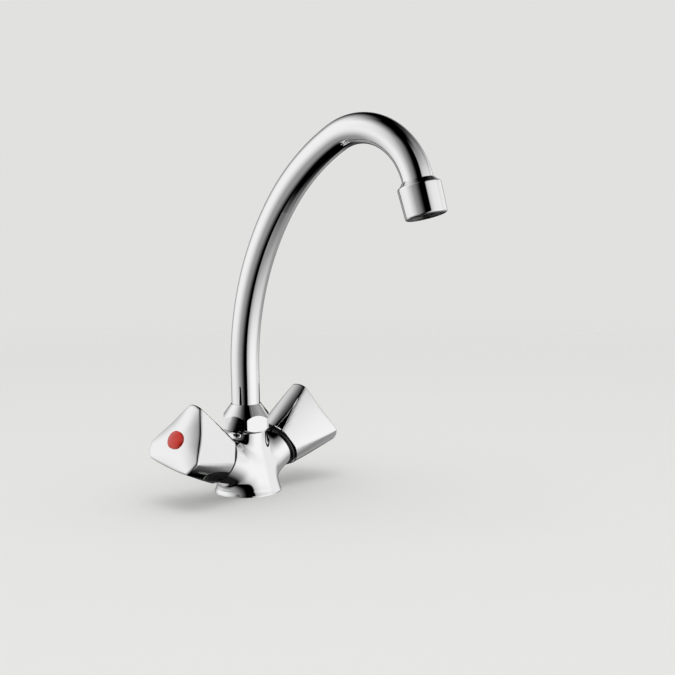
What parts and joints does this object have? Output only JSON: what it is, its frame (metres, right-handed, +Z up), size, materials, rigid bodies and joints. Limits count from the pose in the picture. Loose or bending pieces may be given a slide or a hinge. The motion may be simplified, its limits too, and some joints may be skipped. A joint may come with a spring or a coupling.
{
  "type": "basin mixer tap",
  "caption": "Deck-mounted basin mixer: cast chrome body with two upswept arms, flared three-sided handles with coloured end caps, and a high swivelling swan-neck spout.",
  "frame": {"origin": "Centre of the body's flat underside, where it rests on the deck.", "axes": "+Z up, out of the deck. -Y to the front, the way the spout leans at rest. -X is the hot side and +X the cold side."},
  "size_m": [0.1326, 0.1805, 0.2881],
  "materials": {
    "chrome_casting": "mirror polished chrome plate on cast and turned brass",
    "chrome_tube": "mirror polished chrome plate on drawn brass tube",
    "chrome_handle": "mirror polished chrome plate on a die casting",
    "hot_cap": "glossy red moulded plastic",
    "cold_cap": "glossy blue moulded plastic",
    "black_rubber": "matt black rubber",
    "nylon": "natural nylon",
    "aerator_plastic": "dark grey moulded plastic",
    "ceramic": "lapped white alumina ceramic",
    "brass": "machined brass",
    "zinc_steel": "zinc plated steel",
    "spring_steel": "dark spring steel"
  },
  "bodies": {
    "tap_body": {"mixer_body": "chrome_casting", "base_seal": "black_rubber", "spout_nut": "chrome_casting", "slip_ring": "nylon", "mounting_stud": "zinc_steel", "horseshoe_gasket": "black_rubber", "horseshoe_plate": "zinc_steel", "clamp_nut": "brass", "hot_valve_body": "brass", "hot_fixed_disc": "ceramic", "hot_seat_seal": "black_rubber", "hot_bonnet_ring": "black_rubber", "cold_valve_body": "brass", "cold_fixed_disc": "ceramic", "cold_seat_seal": "black_rubber", "cold_bonnet_ring": "black_rubber"},
    "spout": {"spout_tube": "chrome_tube", "spout_bush": "brass", "spout_ring_lower": "black_rubber", "spout_ring_upper": "black_rubber", "aerator_shell": "chrome_casting", "aerator_insert": "aerator_plastic", "aerator_washer": "black_rubber"},
    "hot_turn": {"hot_handle": "chrome_handle", "hot_index_cap": "hot_cap", "hot_handle_screw": "zinc_steel", "hot_valve_spindle": "brass", "hot_moving_disc": "ceramic", "hot_stem_ring": "black_rubber", "hot_retaining_clip": "spring_steel"},
    "cold_turn": {"cold_handle": "chrome_handle", "cold_index_cap": "cold_cap", "cold_handle_screw": "zinc_steel", "cold_valve_spindle": "brass", "cold_moving_disc": "ceramic", "cold_stem_ring": "black_rubber", "cold_retaining_clip": "spring_steel"}
  },
  "joints": [
    {"name": "spout_swivel", "type": "hinge", "parent": "tap_body", "child": "spout", "pos_m": [0, 0, 0.045], "axis": [0, 0, 1], "continuous": true},
    {"name": "hot_handle_turn", "type": "hinge", "parent": "tap_body", "child": "hot_turn", "pos_m": [0, 0, 0.0116], "axis": [-0.891, 0, 0.454], "range_deg": [0, 90]},
    {"name": "cold_handle_turn", "type": "hinge", "parent": "tap_body", "child": "cold_turn", "pos_m": [0, 0, 0.0116], "axis": [0.891, 0, 0.454], "range_deg": [0, 90]}
  ]
}
